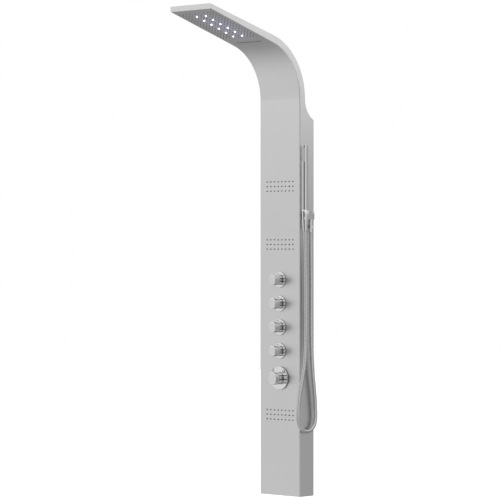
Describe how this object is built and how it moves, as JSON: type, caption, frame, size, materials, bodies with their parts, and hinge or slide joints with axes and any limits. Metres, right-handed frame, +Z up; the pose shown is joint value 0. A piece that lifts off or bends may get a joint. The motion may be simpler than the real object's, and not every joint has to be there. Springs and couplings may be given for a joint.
{
  "type": "shower column",
  "caption": "Wall-hung brushed-steel shower column curving over into a lit rain head, with body jets, stop valves, a thermostatic mixer and a hand shower on a looped hose.",
  "frame": {"origin": "on the wall plane, midway between the four wall screws and on the panel's centre line", "axes": "+X along the wall to the hand shower's side, -Y out of the wall towards the user, +Z up"},
  "size_m": [0.216, 0.5114, 1.65],
  "materials": {
    "panel_steel": "fine vertical brushing, satin",
    "bracket_steel": "plain rolled sheet",
    "chrome": "polished chrome plate",
    "hose_steel": "wound steel strip, polished",
    "brass": "raw machined brass",
    "plastic": "moulded, matt",
    "nozzle_rubber": "soft silicone, matt",
    "lens": "clear moulded, lit from behind",
    "board": "circuit board"
  },
  "bodies": {
    "column": {"generator_case": "plastic", "hand_feed": "brass", "hanger_bar_lower": "bracket_steel", "hanger_bar_upper": "bracket_steel", "head_cover": "panel_steel", "holder": "chrome", "holder_liner": "plastic", "inlet_left": "brass", "inlet_right": "brass", "jet_chamber_lower": "plastic", "jet_chamber_middle": "plastic", "jet_chamber_upper": "plastic", "jet_mat_lower": "nozzle_rubber", "jet_mat_middle": "nozzle_rubber", "jet_mat_upper": "nozzle_rubber", "jet_supply": "brass", "led_board_left": "board", "led_board_right": "board", "led_lenses_left": "lens", "led_lenses_right": "lens", "mixer_body": "brass", "mixer_link": "brass", "mixer_plate": "chrome", "outlet_nut": "chrome", "panel_shell": "panel_steel", "rain_chamber": "plastic", "rain_feed": "brass", "rain_mat": "nozzle_rubber", "rain_riser": "brass", "shower_hose": "hose_steel", "thermo_cartridge": "brass", "valve_cartridge_1": "brass", "valve_cartridge_2": "brass", "valve_cartridge_3": "brass", "valve_cartridge_4": "brass", "valve_manifold": "brass", "valve_plate_1": "chrome", "valve_plate_2": "chrome", "valve_plate_3": "chrome", "valve_plate_4": "chrome", "wall_bracket_lower": "bracket_steel", "wall_bracket_upper": "bracket_steel", "waterfall_riser": "brass", "waterfall_spout": "plastic"},
    "stop_1": {"valve_stem_1": "brass", "valve_knob_1": "chrome"},
    "stop_2": {"valve_stem_2": "brass", "valve_knob_2": "chrome"},
    "stop_3": {"valve_stem_3": "brass", "valve_knob_3": "chrome"},
    "stop_4": {"valve_stem_4": "brass", "valve_knob_4": "chrome"},
    "temperature": {"temperature_stem": "brass", "temperature_knob": "chrome"},
    "button": {"safety_button": "chrome"},
    "rotor": {"generator_rotor": "plastic"},
    "hose_end": {"cone_nut": "chrome"},
    "hand_shower": {"wand_body": "chrome", "wand_face": "nozzle_rubber", "wand_cap": "chrome"}
  },
  "joints": [
    {"name": "stop_1_turn", "type": "hinge", "parent": "column", "child": "stop_1", "pos_m": [0, -0.07, 0.059], "axis": [0, -1, 0], "range_deg": [0, 90]},
    {"name": "stop_2_turn", "type": "hinge", "parent": "column", "child": "stop_2", "pos_m": [0, -0.07, -0.0222], "axis": [0, -1, 0], "range_deg": [0, 90]},
    {"name": "stop_3_turn", "type": "hinge", "parent": "column", "child": "stop_3", "pos_m": [0, -0.07, -0.1034], "axis": [0, -1, 0], "range_deg": [0, 90]},
    {"name": "stop_4_turn", "type": "hinge", "parent": "column", "child": "stop_4", "pos_m": [0, -0.07, -0.1846], "axis": [0, -1, 0], "range_deg": [0, 90]},
    {"name": "temperature_turn", "type": "hinge", "parent": "column", "child": "temperature", "pos_m": [0, -0.07, -0.278], "axis": [0, -1, 0], "range_deg": [-150, 60]},
    {"name": "safety_button_press", "type": "slide", "parent": "temperature", "child": "button", "axis": [0, 0, -1], "range_m": [0, 0.0025], "stiffness_N_per_m": 400},
    {"name": "generator_spin", "type": "hinge", "parent": "column", "child": "rotor", "pos_m": [-0.036, -0.036, 0.45], "axis": [0, 0, 1], "continuous": true},
    {"name": "hand_shower_lift", "type": "slide", "parent": "column", "child": "hose_end", "axis": [0, 0, 1], "range_m": [0, 0.09]},
    {"name": "hand_shower_turn", "type": "hinge", "parent": "hose_end", "child": "hand_shower", "pos_m": [0.108, -0.062, 0.3], "axis": [0, 0, 1], "continuous": true}
  ]
}
